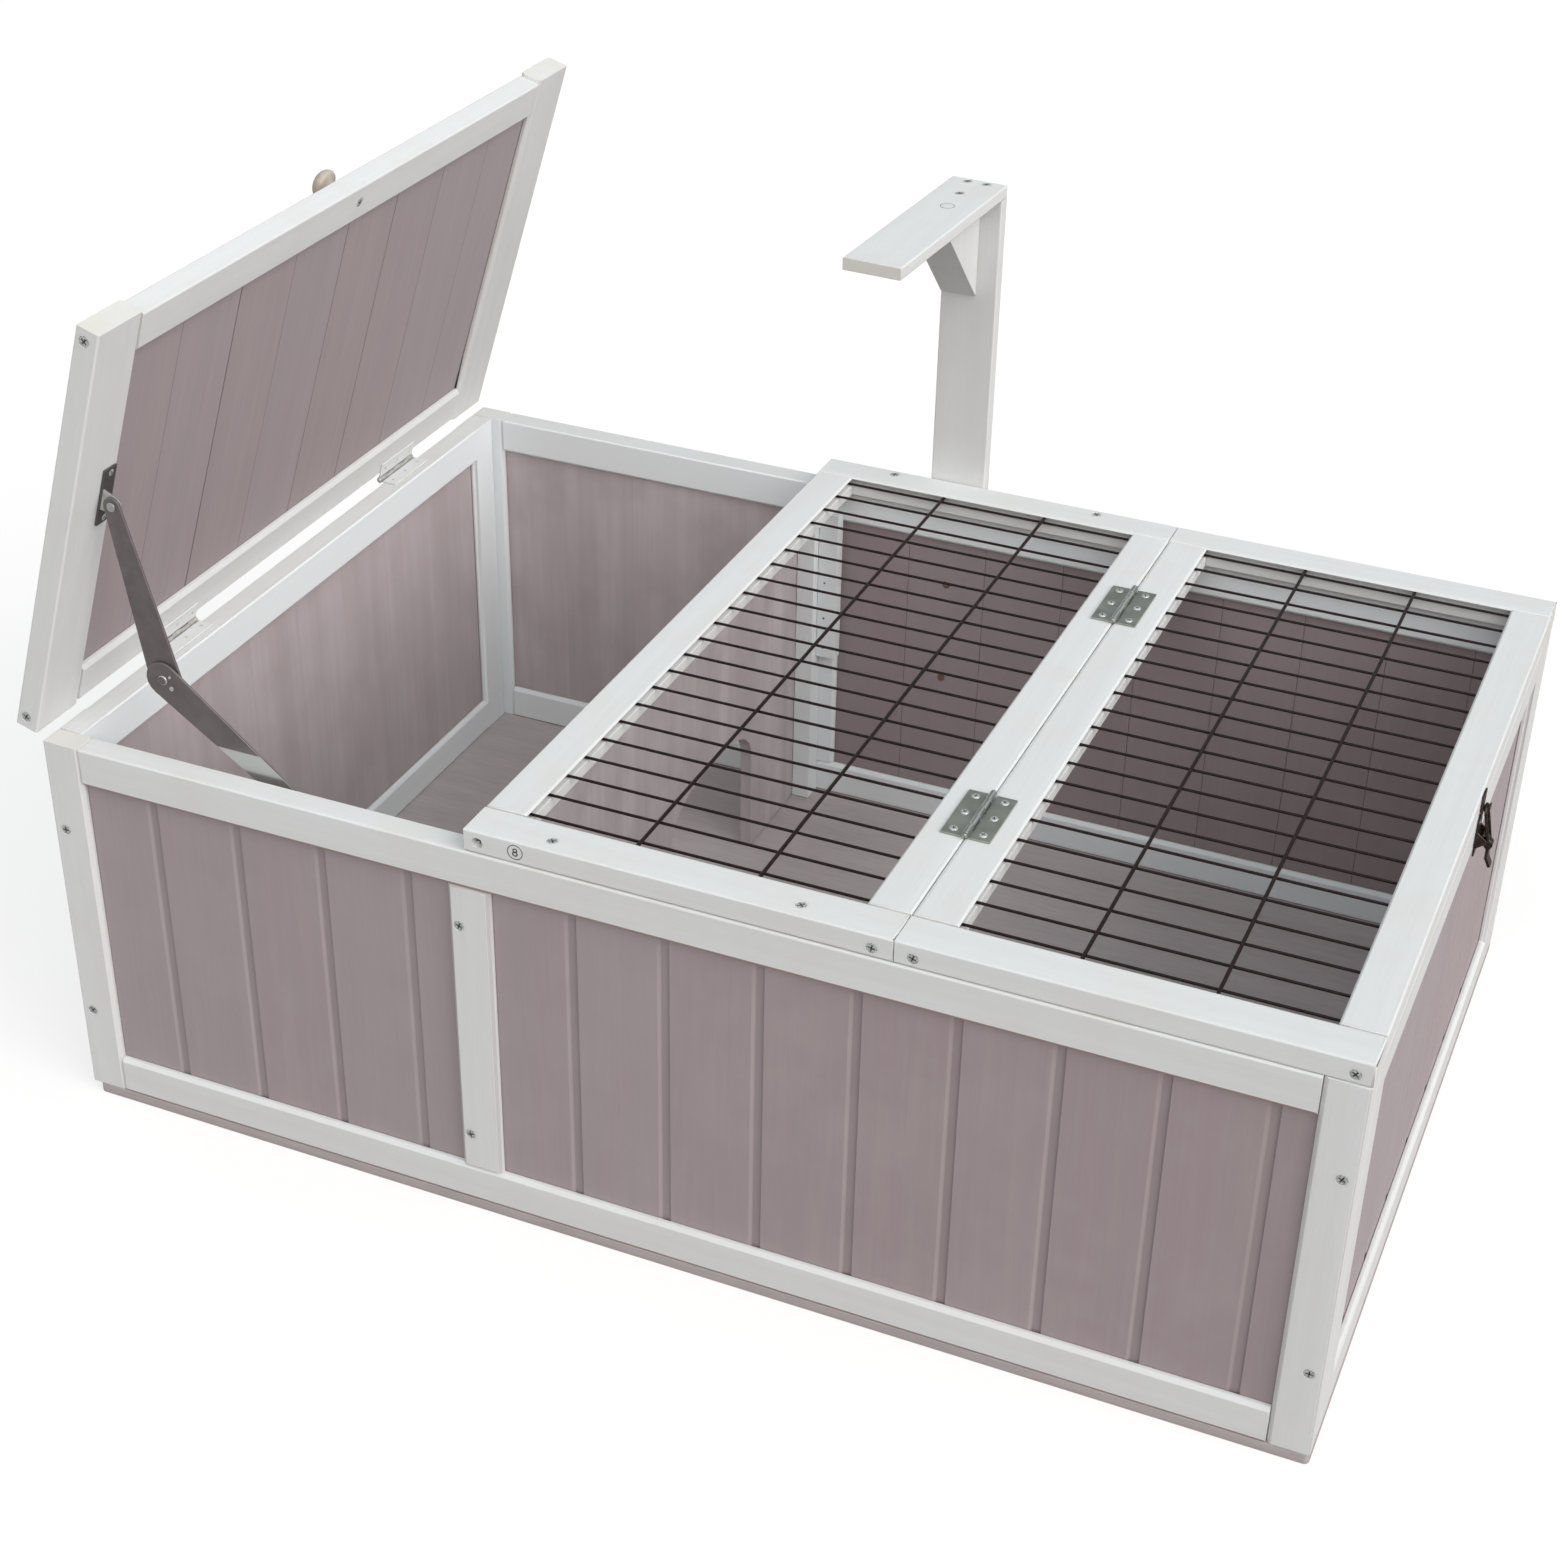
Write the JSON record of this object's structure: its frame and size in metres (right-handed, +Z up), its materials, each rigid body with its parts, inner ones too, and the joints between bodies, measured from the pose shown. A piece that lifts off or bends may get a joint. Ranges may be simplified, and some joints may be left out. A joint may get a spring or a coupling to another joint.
{
  "type": "tortoise house",
  "caption": "Low wooden tortoise house: boarded sleeping room under a hinged lid, wire-topped run with a hinged wire door, arched inner doorway and a lamp holder.",
  "frame": {"origin": "centre of the box's footprint on the underside of the floor board", "axes": "+X along the front from the sleeping room to the run, +Y from the front to the back, +Z up"},
  "size_m": [0.912, 0.6087, 0.5914],
  "materials": {
    "white_paint": "worn satin white paint on softwood",
    "board_stain": "matt brown-grey stain",
    "floor_ply": "matt stain on sheet",
    "knob_wood": "clear satin varnish",
    "wire_coating": "black satin coating on steel wire",
    "zinc_steel": "dull zinc plate",
    "stay_steel": "dark grey coated steel",
    "latch_bronze": "dark antique coating worn to metal on the edges"
  },
  "bodies": {
    "house_frame": {"back_bottom_rail": "white_paint", "back_left_boards": "board_stain", "back_left_post": "white_paint", "back_mid_post": "white_paint", "back_right_boards": "board_stain", "back_right_post": "white_paint", "back_top_rail": "white_paint", "divider_back_batten": "white_paint", "divider_front_batten": "white_paint", "divider_panel": "board_stain", "divider_short_batten": "white_paint", "door_hinge_panel_leaf_back": "zinc_steel", "door_hinge_panel_leaf_front": "zinc_steel", "door_hinge_pin_back": "zinc_steel", "door_hinge_pin_front": "zinc_steel", "fixed_panel_back_rail": "white_paint", "fixed_panel_front_rail": "white_paint", "fixed_panel_left_stile": "white_paint", "fixed_panel_right_stile": "white_paint", "fixed_panel_wires": "wire_coating", "floor_board": "floor_ply", "front_bottom_rail": "white_paint", "front_left_boards": "board_stain", "front_left_post": "white_paint", "front_mid_post": "white_paint", "front_right_boards": "board_stain", "front_right_post": "white_paint", "front_top_rail": "white_paint", "lamp_arm": "white_paint", "lamp_gusset": "white_paint", "lamp_post": "white_paint", "latch_base": "latch_bronze", "left_wall_boards": "board_stain", "left_wall_frame": "white_paint", "lid_hinge_wall_leaf_back": "zinc_steel", "lid_hinge_wall_leaf_front": "zinc_steel", "right_wall_boards": "board_stain", "right_wall_frame": "white_paint", "stay_wall_bracket": "zinc_steel"},
    "lid": {"lid_back_stile": "white_paint", "lid_boards": "board_stain", "lid_free_rail": "white_paint", "lid_front_stile": "white_paint", "lid_hinge_lid_leaf_back": "zinc_steel", "lid_hinge_lid_leaf_front": "zinc_steel", "lid_hinge_rail": "white_paint", "lid_knob": "knob_wood", "stay_lid_bracket": "zinc_steel"},
    "door": {"door_back_rail": "white_paint", "door_front_rail": "white_paint", "door_hinge_door_leaf_back": "zinc_steel", "door_hinge_door_leaf_front": "zinc_steel", "door_left_stile": "white_paint", "door_right_stile": "white_paint", "door_wires": "wire_coating", "latch_catch": "latch_bronze"},
    "stay_upper": {"stay_upper_arm": "stay_steel"},
    "stay_lower": {"stay_lower_arm": "stay_steel"},
    "latch_lever": {"latch_lever": "latch_bronze"},
    "latch_loop": {"latch_loop": "latch_bronze"}
  },
  "joints": [
    {"name": "lid_hinge", "type": "hinge", "parent": "house_frame", "child": "lid", "pos_m": [-0.44285, 0, 0.2906], "axis": [0, 1, 0], "range_deg": [0, 72.8]},
    {"name": "door_hinge", "type": "hinge", "parent": "house_frame", "child": "door", "pos_m": [0.1577, 0, 0.308], "axis": [0, -1, 0], "range_deg": [0, 120]},
    {"name": "stay_lid_pivot", "type": "hinge", "parent": "lid", "child": "stay_upper", "pos_m": [-0.38094, -0.2709, 0.45913], "axis": [0, 1, 0], "range_deg": [0, 9.9]},
    {"name": "stay_elbow", "type": "hinge", "parent": "stay_upper", "child": "stay_lower", "pos_m": [-0.35581, -0.2737, 0.34292], "axis": [0, 1, 0], "range_deg": [-134.16, 0]},
    {"name": "latch_lever_pivot", "type": "hinge", "parent": "house_frame", "child": "latch_lever", "pos_m": [0.4455, 0.016, 0.2705], "axis": [0, -1, 0], "range_deg": [0, 100]},
    {"name": "latch_loop_pivot", "type": "hinge", "parent": "latch_lever", "child": "latch_loop", "pos_m": [0.449, 0.016, 0.267], "axis": [0, 1, 0], "range_deg": [0, 100]}
  ],
  "couplings": [
    {"joint": "stay_lid_pivot", "follows": "lid_hinge", "ratio": 0.1359},
    {"joint": "stay_elbow", "follows": "lid_hinge", "ratio": -1.8428},
    {"joint": "latch_loop_pivot", "follows": "latch_lever_pivot", "ratio": 1}
  ]
}
